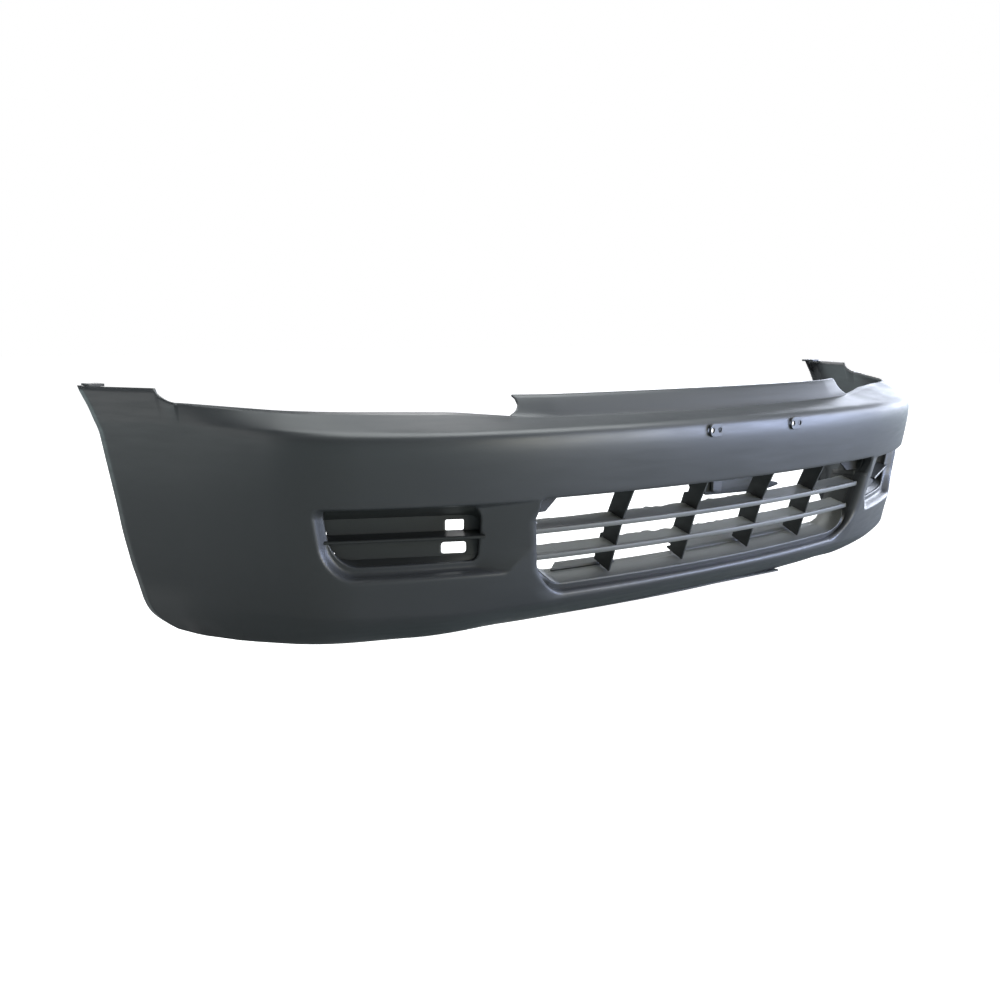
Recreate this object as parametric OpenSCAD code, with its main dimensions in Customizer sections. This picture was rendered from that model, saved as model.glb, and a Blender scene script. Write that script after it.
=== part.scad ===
// Front bumper cover of a small coupe: a moulded skin with a slatted grille opening,
// two louvred side vents, number plate bosses and the flanges that fasten it.
// X is across the car, -Y is forward, Z is up. The lowest point of the chin is at Z = 0.

/* [Plan shape] */
// Radius of the front face in plan
front_radius = 2300; // [2000:50:3000]
// Heading of the face where the front arc ends, in degrees
front_turn = 9; // [7:0.5:10]
// Radius of the gentle corner
corner_radius = 760; // [600:20:900]
// Heading where the gentle corner ends
corner_turn = 31; // [28:0.5:34]
// Radius of the tight corner
shoulder_radius = 230; // [180:10:300]
// Heading of the flat wing
wing_turn = 64; // [60:0.5:68]
// Straight length of each wing, measured along the face
wing_length = 335; // [320:5:350]
// Turn of the narrow band along the wheel arch, relative to the wing
band_turn = 27; // [15:1:30]
// Width of that band at mid height
band_width = 19; // [12:1:24]

/* [Heights] */
// Height of the crown, the most forward line of the face
crown_z = 295; // [285:1:300]
// Height of the top of each wing
wing_top_z = 356; // [352:1:360]
// Height of the bottom edge at the middle
chin_middle_z = 10; // [6:1:14]
// Wall thickness of the moulding
wall = 3.2; // [2.6:0.2:4]

/* [Top flange] */
// Half length of the raised flange, measured along the face
flange_half = 404; // [390:2:412]
// Height that the flange rises above the shelf
flange_rise = 27; // [20:1:34]
// Distance that the flange leans back
flange_lean = 19; // [12:1:26]

/* [Grille opening] */
// Half width of the opening at its top edge
grille_top_half = 407; // [400:1:411]
// Half width of the opening just above its bottom corners
grille_low_half = 379; // [372:1:385]
// Height of the top edge of the opening
grille_top_z = 204; // [201:1:208]
// Height of the bottom edge of the opening
grille_low_z = 61; // [58:1:64]
// Radius of the bottom corners
grille_corner = 46; // [36:2:54]
// Height of the upper slat's nose
upper_slat_z = 157; // [152:1:162]
// Height of the lower slat's nose
lower_slat_z = 116; // [111:1:121]
// Depth of the slats from nose to tail
slat_depth = 32; // [28:1:40]
// Upward slope of slats and floor towards the rear, in degrees
slat_slope = 17; // [12:1:20]
// Depth of the grille floor from front to rear
floor_depth = 58; // [50:1:62]
// Distance of the inner ribs from the middle
inner_rib_x = 80; // [60:1:100]
// Distance of the outer ribs from the middle
outer_rib_x = 230; // [200:1:260]
// Thickness of the ribs
rib_thick = 3; // [2:0.5:4]

/* [Side vents] */
// Start of the vent aperture, measured along the face from the middle
vent_start = 486; // [482:1:492]
// End of the vent aperture, measured along the face from the middle
vent_end = 704; // [694:1:708]
// Bottom of the vent aperture
vent_low_z = 120; // [116:1:126]
// Top of the vent aperture
vent_top_z = 198; // [186:1:200]
// Depth that the vent sits behind the face
vent_recess = 13; // [8:1:16]
// Distance of the housing's back wall behind the crown line
vent_back = 68; // [64:1:80]

/* [Mounting features] */
// Distance between the middles of the two number plate bosses
boss_spacing = 194; // [190:1:200]
// Distance between the two holes of one boss
boss_hole_spacing = 16; // [14:0.5:18]
// Diameter of the number plate screw holes
boss_hole = 7; // [6:0.5:8]
// Diameter of the screw holes in the wing tabs
tab_hole = 6.5; // [5:0.5:7]
// Diameter of the screw holes in the undertray flange
tray_hole = 8; // [6:0.5:9]

/* [Hidden] */

degree = 180 / PI;
slat_upper = [upper_slat_z, 41];
slat_lower = [lower_slat_z, 55];
vent_span = [vent_start, vent_end];
vent_z = [vent_low_z, vent_top_z];
overall_width = 1706;
origin_back = 262;
stretch_from = 850;
nominal_end = 1122;
boss_z = 285;
boss_y = 0.5;
nose_radius = 2.6;
side_lean = 0.28;
vent_front = 36;
lip_width = 14;
tab_x = 836;
tab_y = 508;
tray_half = 258;
tray_hole_x = [-210, -70, 70, 210];
tray_hole_y = 146;
tray_tab_start = 40;
tray_tab_end = 236;
tray_tab_drop = 2;
floor_start = [47, 65];
shelf_depth = 38;
bracket_y = 132;
primer = "#4b4f54";
primer_dark = "#33383a";

// Each stretch of the plan line is [length, turn in degrees].
stretches = [
    [front_radius * front_turn / degree, front_turn],
    [corner_radius * (corner_turn - front_turn) / degree, corner_turn - front_turn],
    [shoulder_radius * (wing_turn - corner_turn) / degree, wing_turn - corner_turn],
    [wing_length, 0]
];
face_length = stretches[0][0] + stretches[1][0] + stretches[2][0] + stretches[3][0];
wing_start = face_length - wing_length;
step_end = wing_start + 185;
step_start = step_end - 36;

// Shape of the edges, as [distance along the face, value] with straight lines between.
shelf_widths = [[0, 77], [430, 77], [515, 82], [615, 72], [785, 30], [945, 0]];
shelf_rises = [[0, 14], [400, 18], [515, 27], [785, 34], [935, 42]];
chin_heights = [
    [0, chin_middle_z], [430, 4], [500, 1], [560, 0], [620, 2], [700, 5], [850, 10], [1120, 24]
];
chin_setbacks = [[0, 125], [430, 127], [600, 108], [700, 80], [850, 30], [1000, 8]];
// Shape of the wheel arch edge, as [height, distance along the face].
arch_edge = [
    [0, 905], [26, 976], [33, 998], [50, 1014], [74, 1025], [100, 1034], [150, 1045],
    [190, 1051], [225, 1058], [260, 1066], [294, 1074], [326, 1093], [356, 1117]
];

function mix(a, b, t) = a + (b - a) * t;
function clamp(t) = min(1, max(0, t));
function smooth(t) = let (c = clamp(t)) c * c * (3 - 2 * c);
function along(table, x) = lookup(x, table);
function sign_of(x) = x < 0 ? -1 : 1;

// Position and heading on the crown line, s being the distance from the middle.
function stretch_end(p, stretch) = walk(p, stretch, stretch[0]);
function walk(p, stretch, s) =
    stretch[1] == 0
        ? [p[0] + s * cos(p[2]), p[1] + s * sin(p[2]), p[2]]
        : let (r = stretch[0] / stretch[1] * degree, h = p[2] + s / r * degree)
            [p[0] + r * (sin(h) - sin(p[2])), p[1] + r * (cos(p[2]) - cos(h)), h];
function from_stretch(i, p, s) =
    i == len(stretches) - 1 || s <= stretches[i][0]
        ? walk(p, stretches[i], s)
        : from_stretch(i + 1, stretch_end(p, stretches[i]), s - stretches[i][0]);
function crown(s) = from_stretch(0, [0, 0, 0], s);

// Height of the top edge, with the concave step up to the wing.
function step_rise(s) =
    let (t = clamp((s - step_start) / (step_end - step_start))) 1 - sqrt(1 - t * t);
function top_z(s) =
    let (low = crown_z + along(shelf_rises, s)) mix(low, wing_top_z - 1, step_rise(s));
function top_inset(s) =
    s < step_start ? along(shelf_widths, s) : 5 * smooth((s - step_start) / 36);

// Control points of the section at s, from the bottom edge up to the rear of the shelf.
function section(s) =
    let (
        k = smooth((s - 510) / 430),
        low = along(chin_heights, s),
        back = along(chin_setbacks, s),
        front = [
            [back, low], [back * 0.45 + 3, low + 33], [50, 62], [39, 100], [24, 160], [9, 220],
            [0, crown_z - 27], [0, crown_z - 5], [4, crown_z + 4], [18, crown_z + 9]
        ],
        side = [
            [back, low], [back * 0.45 + 6, low + 30], [12, 80], [9, 110], [5, 160], [1, 220],
            [0, crown_z - 27], [0, crown_z - 5], [0, crown_z + 5], [0, crown_z + 17]
        ]
    )
    concat([for (i = [0:9]) mix(front[i], side[i], k)], [[top_inset(s), top_z(s)]]);

// Point and slope on the rounded section, v running from 0 at the bottom to 1 at the top.
function section_at(points, v) =
    let (
        spans = len(points) - 2,
        u = v * spans,
        i = min(floor(u), spans - 1),
        t = u - i,
        a = i == 0 ? points[0] : (points[i] + points[i + 1]) / 2,
        b = points[i + 1],
        c = i == spans - 1 ? points[i + 2] : (points[i + 1] + points[i + 2]) / 2,
        slope = 2 * (1 - t) * (b - a) + 2 * t * (c - b)
    )
    [(1 - t) * (1 - t) * a + 2 * t * (1 - t) * b + t * t * c, slope / norm(slope)];

// Depth of the soft recess that holds the vent and fades out towards the grille opening.
function recess(s, z) =
    let (
        outer = vent_span[1] + 12 - s,
        under = z - vent_z[0] + 22,
        r = 45,
        rounded = outer < r && under < r ? r - norm([r - outer, r - under]) : min(outer, under),
        tip = 438 - 34 * smooth((z - 100) / 40),
        inside = min((vent_z[1] + 7 - z) / 6, (s - tip) / (vent_span[0] - tip), rounded / 12)
    )
    vent_recess * smooth(inside);

// A point of the moulding: s along the face, then its setback and height.
function edge_s(z) = along(arch_edge, z);
function mould_point(s, inset, z, side) =
    let (
        fold = edge_s(z) - band_width,
        p = crown(min(s, fold)),
        beyond = max(0, s - fold),
        h = p[2] + band_turn
    )
    [
        side * (p[0] - inset * sin(p[2]) + beyond * cos(h)),
        p[1] + inset * cos(p[2]) + beyond * sin(h),
        z
    ];

// Skin point at nominal distance n and section position v; deep is the distance inwards.
function skin_point(n, v, deep, side) =
    let (
        hit = section_at(section(n), v),
        z = hit[0][1],
        s = n <= stretch_from ? n
            : stretch_from + (n - stretch_from) * (edge_s(z) - stretch_from) / (nominal_end - stretch_from),
        inset = hit[0][0] + recess(s, z)
    )
    mould_point(s, inset + deep * hit[1][1], z - deep * hit[1][0], side);

function spread(a, b, n) = [for (i = [0:n - 1]) a + (b - a) * i / n];
half_columns = concat(
    spread(0, 415, 9), spread(415, 500, 4), spread(500, 690, 8), spread(690, 730, 4),
    spread(730, step_start, 7), spread(step_start, step_end, 5), spread(step_end, 1085, 4),
    [1085, 1103, nominal_end]
);
columns = concat([for (i = [len(half_columns) - 1:-1:1]) -half_columns[i]], half_columns);
rows = [for (j = [0:26]) j / 26];

// Closed shell between two point sheets of equal size, listed column by column.
module shell_between(outer, inner, nc, nr) {
    count = nc * nr;
    function at(i, j, back) = i * nr + j + (back ? count : 0);
    function quad(a, b, c, d) = [[a, b, c], [a, c, d]];
    sheets = [
        for (i = [0:nc - 2]) for (j = [0:nr - 2]) for (f = concat(
            quad(at(i, j, false), at(i, j + 1, false), at(i + 1, j + 1, false), at(i + 1, j, false)),
            quad(at(i, j, true), at(i + 1, j, true), at(i + 1, j + 1, true), at(i, j + 1, true))
        )) f
    ];
    ends = [
        for (j = [0:nr - 2]) for (f = concat(
            quad(at(0, j, false), at(0, j, true), at(0, j + 1, true), at(0, j + 1, false)),
            quad(at(nc - 1, j, false), at(nc - 1, j + 1, false), at(nc - 1, j + 1, true), at(nc - 1, j, true))
        )) f
    ];
    rims = [
        for (i = [0:nc - 2]) for (f = concat(
            quad(at(i, 0, false), at(i + 1, 0, false), at(i + 1, 0, true), at(i, 0, true)),
            quad(at(i, nr - 1, false), at(i, nr - 1, true), at(i + 1, nr - 1, true), at(i + 1, nr - 1, false))
        )) f
    ];
    polyhedron(points = concat(outer, inner), faces = concat(sheets, ends, rims));
}

// Moves a shape from the crown frame, where the middle of the crown is at Y = 0, into place.
module place() {
    translate([0, -origin_back, 0]) children();
}

module side_copy(side) {
    if (side < 0) mirror([1, 0, 0]) children();
    else children();
}

// Rounded outline from corners [x, y, radius], listed anticlockwise.
function corner(before, p, after, r) =
    let (
        u = (before - p) / norm(before - p),
        w = (after - p) / norm(after - p),
        half = acos(u * w) / 2,
        centre = p + (u + w) / norm(u + w) * r / sin(half),
        a = p + u * r / tan(half) - centre,
        b = p + w * r / tan(half) - centre,
        from = atan2(a[1], a[0]),
        raw = atan2(b[1], b[0]) - from,
        turn = raw > 180 ? raw - 360 : raw < -180 ? raw + 360 : raw
    )
    [for (k = [0:8]) centre + r * [cos(from + turn * k / 8), sin(from + turn * k / 8)]];
function flat(p) = [p[0], p[1]];
function rounded(corners) =
    let (n = len(corners))
    [
        for (i = [0:n - 1])
            for (p = corner(flat(corners[(i + n - 1) % n]), flat(corners[i]),
                            flat(corners[(i + 1) % n]), corners[i][2])) p
    ];

// Sweeps a profile, drawn as [setback, height], along the front arc to +-half_x.
module arc_sweep(half_x, setback) {
    reach = asin(half_x / (front_radius - setback));
    translate([0, front_radius, 0])
        rotate([0, 0, -90 - reach])
            rotate_extrude(angle = 2 * reach, $fn = 720)
                translate([front_radius, 0]) mirror([1, 0]) children();
}

// Strip of the given length and thickness that rises to the rear at the slat slope.
module sloped_strip(length, thick) {
    rotate(slat_slope) translate([0, -thick / 2]) square([length, thick]);
}

// Places a shape in the frame of a side vent: X outwards along the face, Y rearwards.
module vent_frame(side) {
    p = crown((vent_span[0] + vent_span[1]) / 2);
    side_copy(side) translate([p[0], p[1], 0]) rotate([0, 0, p[2]]) children();
}

grille_outline = rounded([
    [-grille_top_half, grille_top_z, 9], [-grille_low_half, grille_low_z, grille_corner],
    [grille_low_half, grille_low_z, grille_corner], [grille_top_half, grille_top_z, 9]
]);
vent_half = (vent_span[1] - vent_span[0]) / 2;
vent_outline = rounded([
    [-vent_half, vent_z[1], 26], [-vent_half, vent_z[0], 11],
    [vent_half, vent_z[0], 42], [vent_half, vent_z[1], 9]
]);

module grille_cut() {
    translate([0, 140, 0]) rotate([90, 0, 0]) linear_extrude(200) polygon(grille_outline);
}

module vent_cut(side) {
    vent_frame(side)
        translate([0, 90, 0]) rotate([90, 0, 0]) linear_extrude(110) polygon(vent_outline);
}

module boss_window(side) {
    translate([side * boss_spacing / 2 - 12, -10, boss_z - 8]) cube([24, 30, 16]);
}

module skin_shell() {
    outer = [for (c = columns) for (v = rows) skin_point(abs(c), v, 0, sign_of(c))];
    inner = [for (c = columns) for (v = rows) skin_point(abs(c), v, wall, sign_of(c))];
    shell_between(outer, inner, len(columns), len(rows));
}

// The outer moulding in one piece, with its openings cut out.
module fascia_skin() {
    color(primer) place() resize([overall_width, 0, 0]) difference() {
        skin_shell();
        grille_cut();
        for (side = [-1, 1]) {
            vent_cut(side);
            boss_window(side);
        }
    }
}

// The raised panel behind the bonnet edge, with concave cuts at its ends.
function flange_end(t) = flange_half - 8 + 30 * pow(1 - t, 2.5) + 8 * pow(t, 4);
function flange_point(u, t, deep) =
    let (
        s = abs(u) * flange_end(t),
        p = crown(s),
        setback = 72 + 5 * smooth((s - 300) / 80) + flange_lean * t + deep,
        x = p[0] - setback * sin(p[2])
    )
    [sign_of(u) * x, p[1] + setback * cos(p[2]), crown_z + 12 + (flange_rise + 3) * t - deep * 0.4];
module top_flange() {
    steps = 24;
    outer = [for (i = [-steps:steps]) for (j = [0:6]) flange_point(i / steps, j / 6, 0)];
    inner = [for (i = [-steps:steps]) for (j = [0:6]) flange_point(i / steps, j / 6, wall)];
    color(primer) place() shell_between(outer, inner, 2 * steps + 1, 7);
}

module slat(nose) {
    arc_sweep(grille_low_half + (nose[0] - grille_low_z - grille_corner) * side_lean, nose[1])
        translate([nose[1] + nose_radius, nose[0]]) {
            circle(r = nose_radius);
            sloped_strip(slat_depth - nose_radius, 2.6);
        }
}
module grille_slat_upper() { color(primer) place() slat(slat_upper); }
module grille_slat_lower() { color(primer) place() slat(slat_lower); }

// A rib is a plate in the YZ plane that leans back with the face.
module rib(x) {
    top = [20, grille_top_z + 6];
    knee = [47, 158];
    foot = [75, 79];
    back = slat_depth * [cos(slat_slope), sin(slat_slope)];
    sag = abs(x) * abs(x) / 2 / front_radius;
    translate([x - rib_thick / 2, sag, 0])
        rotate([90, 0, 90])
            linear_extrude(rib_thick)
                polygon([foot, foot + back, knee + back, top + back, top, knee]);
}
module grille_rib_1() { color(primer_dark) place() rib(-outer_rib_x); }
module grille_rib_2() { color(primer_dark) place() rib(-inner_rib_x); }
module grille_rib_3() { color(primer_dark) place() rib(inner_rib_x); }
module grille_rib_4() { color(primer_dark) place() rib(outer_rib_x); }

module grille_floor() {
    color(primer) place() arc_sweep(352, 60)
        translate(floor_start) sloped_strip(floor_depth, wall);
}

// Narrow shelf that carries on behind the floor between two distances from the middle.
module floor_shelf(from_x, to_x) {
    rear = floor_start + floor_depth * [cos(slat_slope), sin(slat_slope)];
    color(primer) place() intersection() {
        arc_sweep(330, 90) translate(rear) sloped_strip(shelf_depth, 2.4);
        translate([from_x, 0, 0]) cube([to_x - from_x, 300, 200]);
    }
}
module floor_shelf_left() { floor_shelf(-318, -200); }
module floor_shelf_right() { floor_shelf(-53, 275); }

module grille_header() {
    color(primer_dark) place() arc_sweep(grille_top_half - 4, 30)
        translate([17, grille_top_z + 4]) sloped_strip(52, wall);
}

// Side wall of the grille duct: it follows the end of the opening and its bottom corner.
module grille_wall(side) {
    outline = rounded([
        [330, grille_low_z - wall, 1], [grille_low_half + wall, grille_low_z - wall, grille_corner + wall],
        [grille_top_half + wall, grille_top_z + 8, 1], [330, grille_top_z + 8, 1]
    ]);
    color(primer_dark) place() side_copy(side)
        translate([0, 52, grille_top_z]) rotate([11, 0, 0]) translate([0, 36, -grille_top_z])
            rotate([90, 0, 0]) linear_extrude(36) difference() {
                polygon(outline);
                translate([-wall, wall]) polygon(outline);
                translate([0, grille_low_z - 20]) square([338, 300]);
            }
}
module grille_wall_left() { grille_wall(-1); }
module grille_wall_right() { grille_wall(1); }

// Small plate behind each top corner of the grille opening.
module grille_gusset(side) {
    color(primer_dark) place() side_copy(side)
        translate([0, 84, 0]) rotate([90, 0, 0]) linear_extrude(wall) polygon([
            [grille_top_half - 13, grille_top_z - 24], [grille_top_half - 13, grille_top_z + 8],
            [grille_top_half - 85, grille_top_z + 8], [grille_top_half - 45, grille_top_z - 24]
        ]);
}
module grille_gusset_left() { grille_gusset(-1); }
module grille_gusset_right() { grille_gusset(1); }

// Bracket that hangs from the rear of the header, to the right of the middle.
module inner_bracket() {
    top = grille_top_z + 20;
    color(primer_dark) place() {
        translate([36, 66.5, top - 6]) cube([127, bracket_y - 66.5, wall]);
        translate([0, bracket_y + wall, 0]) rotate([90, 0, 0]) linear_extrude(wall) polygon([
            [36, top - 2.8], [36, 160], [150, 156], [205, 157], [230, 161], [226, 165], [168, 176],
            [163, top - 2.8]
        ]);
    }
}

// Closed box behind a vent, with two windows through its back wall near the middle of the car.
module vent_housing(side) {
    slope = (vent_back - vent_front) / 60;
    low = vent_z[0] - 3;
    high = vent_z[1] + 3;
    long = 2 * vent_half + 10;
    color(primer_dark) place() vent_frame(side) difference() {
        translate([-long / 2, 0, 0]) rotate([90, 0, 90]) linear_extrude(long) polygon([
            [vent_front + 14, low - wall], [vent_back + 6, low - wall],
            [vent_back, high + wall], [vent_front, high + wall]
        ]);
        translate([wall - long / 2, 0, 0]) rotate([90, 0, 90]) linear_extrude(long - 2 * wall)
            polygon([
                [vent_front - 10, low], [vent_back + 6 - wall, low],
                [vent_back - wall, high], [vent_front - 10, high]
            ]);
        translate([-84, vent_back - 12, 162]) cube([26, 30, 16]);
        translate([-86, vent_back - 12, 129]) cube([34, 30, 17]);
    }
}
module vent_housing_left() { vent_housing(-1); }
module vent_housing_right() { vent_housing(1); }

module vent_louvre(side) {
    color(primer) place() vent_frame(side)
        translate([-vent_half - 1.5, vent_front + 10, 155]) rotate([90, 0, 90])
            linear_extrude(2 * vent_half + 3) {
                circle(r = nose_radius);
                sloped_strip(vent_back - vent_front - 10, 2.6);
            }
}
module vent_louvre_left() { vent_louvre(-1); }
module vent_louvre_right() { vent_louvre(1); }

// Lip that turns inwards along the wheel arch edge.
module wheel_arch_lip(side) {
    edge = [for (v = rows) skin_point(nominal_end, v, 0, 1)];
    function strip(back) = [for (p = edge) for (x = [0, lip_width]) [p[0] - x, p[1] - back, p[2]]];
    color(primer) place() side_copy(side) shell_between(strip(2.6), strip(0), len(rows), 2);
}
module wheel_arch_lip_left() { wheel_arch_lip(-1); }
module wheel_arch_lip_right() { wheel_arch_lip(1); }

// Tab on top of the wing's rear corner, with a vertical screw hole.
module wing_tab(side) {
    color(primer) place() side_copy(side) difference() {
        translate([tab_x - 11, tab_y - 15, wing_top_z - 2]) cube([22, 30, 4]);
        translate([tab_x - 3, tab_y, wing_top_z - 4]) cylinder(d = tab_hole, h = 8, $fn = 48);
    }
}
module wing_tab_left() { wing_tab(-1); }
module wing_tab_right() { wing_tab(1); }

// Raised pad with a plug through the skin and two holes for number plate screws.
module plate_boss(side) {
    color(primer) place() translate([side * boss_spacing / 2, boss_y, boss_z])
        difference() {
            union() {
                rotate([90, 0, 0]) linear_extrude(3) hull() {
                    translate([-3, 0]) circle(r = 10.8, $fn = 48);
                    translate([9, 0]) square([8, 21], center = true);
                }
                translate([-12, 0, -8]) cube([24, 8, 16]);
            }
            for (x = [-1, 1]) translate([x * boss_hole_spacing / 2, 10, 0])
                rotate([90, 0, 0]) cylinder(d = boss_hole, h = 20, $fn = 48);
        }
}
module plate_boss_left() { plate_boss(-1); }
module plate_boss_right() { plate_boss(1); }

// Horizontal flange behind the chin, drilled for the undertray.
module undertray_flange() {
    color(primer_dark) place() difference() {
        arc_sweep(tray_half, 130) translate([124, chin_middle_z - 3]) square([34, wall]);
        for (x = tray_hole_x) translate([x, tray_hole_y, 0])
            cylinder(d = tray_hole, h = 20, $fn = 48);
    }
}

// Low tab under the right half of the chin, dropping away from the middle.
module undertray_tab() {
    run = [tray_tab_end - tray_tab_start, tray_tab_drop];
    color(primer_dark) place()
        translate([tray_tab_start, 141, chin_middle_z - 3.5]) rotate([90, atan2(run[1], run[0]), 0])
            linear_extrude(14) square([norm(run), wall - 0.4]);
}

fascia_skin();
top_flange();
grille_slat_upper();
grille_slat_lower();
grille_rib_1();
grille_rib_2();
grille_rib_3();
grille_rib_4();
grille_floor();
floor_shelf_left();
floor_shelf_right();
grille_header();
grille_wall_left();
grille_wall_right();
grille_gusset_left();
grille_gusset_right();
inner_bracket();
vent_housing_left();
vent_housing_right();
vent_louvre_left();
vent_louvre_right();
wheel_arch_lip_left();
wheel_arch_lip_right();
wing_tab_left();
wing_tab_right();
plate_boss_left();
plate_boss_right();
undertray_flange();
undertray_tab();
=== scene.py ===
"""Front bumper cover of a small coupe in grey primer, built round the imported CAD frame.

Shapes are worked out in millimetres in the crown frame: X across the car, Y rearwards from the most
forward point of the face, Z up from the lowest point of the chin. put() turns them into the CAD frame.
"""
import math
import bpy
import numpy as np
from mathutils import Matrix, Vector


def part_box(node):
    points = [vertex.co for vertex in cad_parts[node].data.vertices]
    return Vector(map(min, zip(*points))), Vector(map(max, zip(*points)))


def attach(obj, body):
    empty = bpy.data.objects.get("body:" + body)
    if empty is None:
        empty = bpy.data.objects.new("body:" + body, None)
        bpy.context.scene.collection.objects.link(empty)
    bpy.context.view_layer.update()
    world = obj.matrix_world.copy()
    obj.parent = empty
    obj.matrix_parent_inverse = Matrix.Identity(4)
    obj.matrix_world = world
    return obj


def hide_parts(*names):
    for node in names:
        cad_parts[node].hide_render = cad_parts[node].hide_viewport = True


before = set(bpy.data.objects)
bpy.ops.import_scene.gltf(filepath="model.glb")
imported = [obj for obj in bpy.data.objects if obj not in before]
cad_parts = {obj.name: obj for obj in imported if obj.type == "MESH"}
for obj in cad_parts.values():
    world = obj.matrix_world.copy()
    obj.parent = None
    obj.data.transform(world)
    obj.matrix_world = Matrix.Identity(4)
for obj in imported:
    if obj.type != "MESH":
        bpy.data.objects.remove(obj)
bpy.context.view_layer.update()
skin_low, skin_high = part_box("fascia_skin")
CROWN_Y = skin_low.y * 1000
HALF_WIDTH = skin_high.x * 1000

# ---------------------------------------------------------------- camera
CAMERA_FROM_CROWN = (-1422.6, -1112.8, 442.8)
CAMERA_YAW = 39.334
CAMERA_PITCH = 8.779
LENS_PER_WIDTH = 1.15

camera_data = bpy.data.cameras.new("camera")
camera_data.sensor_width = 36
camera_data.lens = 36 * LENS_PER_WIDTH
camera = bpy.data.objects.new("camera", camera_data)
bpy.context.scene.collection.objects.link(camera)
camera.location = [(c + shift) / 1000 for c, shift in zip(CAMERA_FROM_CROWN, (0, CROWN_Y, 0))]
camera.rotation_euler = (math.radians(90 - CAMERA_PITCH), 0, -math.radians(CAMERA_YAW))
bpy.context.scene.camera = camera

# ---------------------------------------------------------------- shape of the moulding
CROWN_Z = 295
WING_TOP_Z = 356
WALL = 3.2
BAND_TURN = math.radians(27)
BAND_WIDTH = 19
BAND_BEND = 1.3
FACE_ARCS = [(2300, 9), (760, 22), (230, 33)]
WING_LENGTH = 335
FRONT_RADIUS = FACE_ARCS[0][0]
FACE_LENGTH = sum(r * math.radians(turn) for r, turn in FACE_ARCS) + WING_LENGTH
STEP_END = FACE_LENGTH - WING_LENGTH + 185
STEP_START = STEP_END - 36
STRETCH_FROM = 850
NOMINAL_END = 1122

SHELF_WIDTHS = [(0, 77), (430, 77), (515, 82), (615, 72), (785, 30), (945, 0)]
SHELF_RISES = [(0, 14), (400, 18), (515, 27), (785, 34), (935, 42)]
CHIN_HEIGHTS = [(0, 10), (430, 4), (500, 1), (560, 0), (620, 2), (700, 5), (850, 10), (1120, 24)]
CHIN_SETBACKS = [(0, 125), (430, 127), (600, 108), (700, 80), (850, 30), (1000, 8)]
ARCH_EDGE = [
    (0, 905), (26, 976), (33, 998), (50, 1014), (74, 1025), (100, 1034), (150, 1045),
    (190, 1051), (225, 1058), (260, 1066), (294, 1074), (326, 1093), (356, 1117),
]

GRILLE_TOP_Z, GRILLE_LOW_Z = 204, 61
GRILLE_TOP_S, GRILLE_LOW_S = 401, 377
VENT_S, VENT_Z = (484, 706), (119.5, 200)
VENT_LEAN = 0.11
LIP_S, LIP_Z = (380, 716), (100, 205)
LIP_CORNERS = (1, 1, 52, 16)
WEDGE_TIP_S, WEDGE_TOP_S = 438, 404
FOLD_WIDTH = 11
RECESS_DEPTH, RECESS_BLEND = 18, 0.06
VENT_MIDDLE_S = 594

ROLL_DEPTH, ROLL_REACH = 9, 30
CHIN_SHARE_FROM, CHIN_SHARE_OVER = 52, 46
SIDE_FROM, SIDE_OVER = 60, 45
SIDE_TO, SIDE_FADE = 172, 24
EDGE_RADIUS, CHIN_EXTRA_RADIUS, SIDE_EXTRA_RADIUS = 5, 9, 15
CHIN_LIP_TURN = 32


def smooth(t):
    t = np.clip(t, 0, 1)
    return t * t * (3 - 2 * t)


def along(table, x, blur=24):
    """Value of a table of (position, value) at x, with its corners rounded over +-blur."""
    xs, ys = zip(*table)
    shifts = np.linspace(-blur, blur, 9)
    return sum(np.interp(np.asarray(x, float) + d, xs, ys) for d in shifts) / len(shifts)


def crown(s):
    """Position and heading of the crown line at distance s from the middle."""
    s = np.asarray(s, float)
    x, y, h = s * 0, s * 0, s * 0
    start, px, py, ph = 0.0, 0.0, 0.0, 0.0
    for radius, turn in FACE_ARCS:
        d = s - start
        here = d >= 0
        hh = ph + d / radius
        x = np.where(here, px + radius * (np.sin(hh) - math.sin(ph)), x)
        y = np.where(here, py + radius * (math.cos(ph) - np.cos(hh)), y)
        h = np.where(here, hh, h)
        end = ph + math.radians(turn)
        px += radius * (math.sin(end) - math.sin(ph))
        py += radius * (math.cos(ph) - math.cos(end))
        start += radius * math.radians(turn)
        ph = end
    d = s - start
    here = d >= 0
    x = np.where(here, px + d * math.cos(ph), x)
    y = np.where(here, py + d * math.sin(ph), y)
    return x, y, np.where(here, ph, h)


def top_edge(s):
    """Setback and height of the top edge, with the concave step up to the wing."""
    t = np.clip((s - STEP_START) / (STEP_END - STEP_START), 0, 1)
    rise = 1 - np.sqrt(1 - t * t)
    low = CROWN_Z + along(SHELF_RISES, s)
    height = low + (WING_TOP_Z - 1 - low) * rise
    inset = np.where(s < STEP_START, along(SHELF_WIDTHS, s, 12), 5 * smooth((s - STEP_START) / 36))
    return inset, height


def section(s):
    """Control points [setback, height] of the section at s, from the bottom edge to the rear of the shelf."""
    s = np.asarray(s, float)
    k = smooth((s - 510) / 430)
    low, back = along(CHIN_HEIGHTS, s), along(CHIN_SETBACKS, s)
    front = [(back, low), (back * 0.45 + 3, low + 33), (50, 62), (39, 100), (24, 160), (9, 220),
             (0, CROWN_Z - 27), (0, CROWN_Z - 5), (4, CROWN_Z + 4), (18, CROWN_Z + 9)]
    side = [(back, low), (back * 0.45 + 6, low + 30), (12, 80), (9, 110), (5, 160), (1, 220),
            (0, CROWN_Z - 27), (0, CROWN_Z - 5), (0, CROWN_Z + 5), (0, CROWN_Z + 17)]
    points = []
    for f, g in zip(front, side):
        points.append([f[0] + (g[0] - f[0]) * k + 0 * s, f[1] + (g[1] - f[1]) * k + 0 * s])
    points.append(list(top_edge(s)))
    return np.moveaxis(np.array(points), -1, 0)


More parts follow.
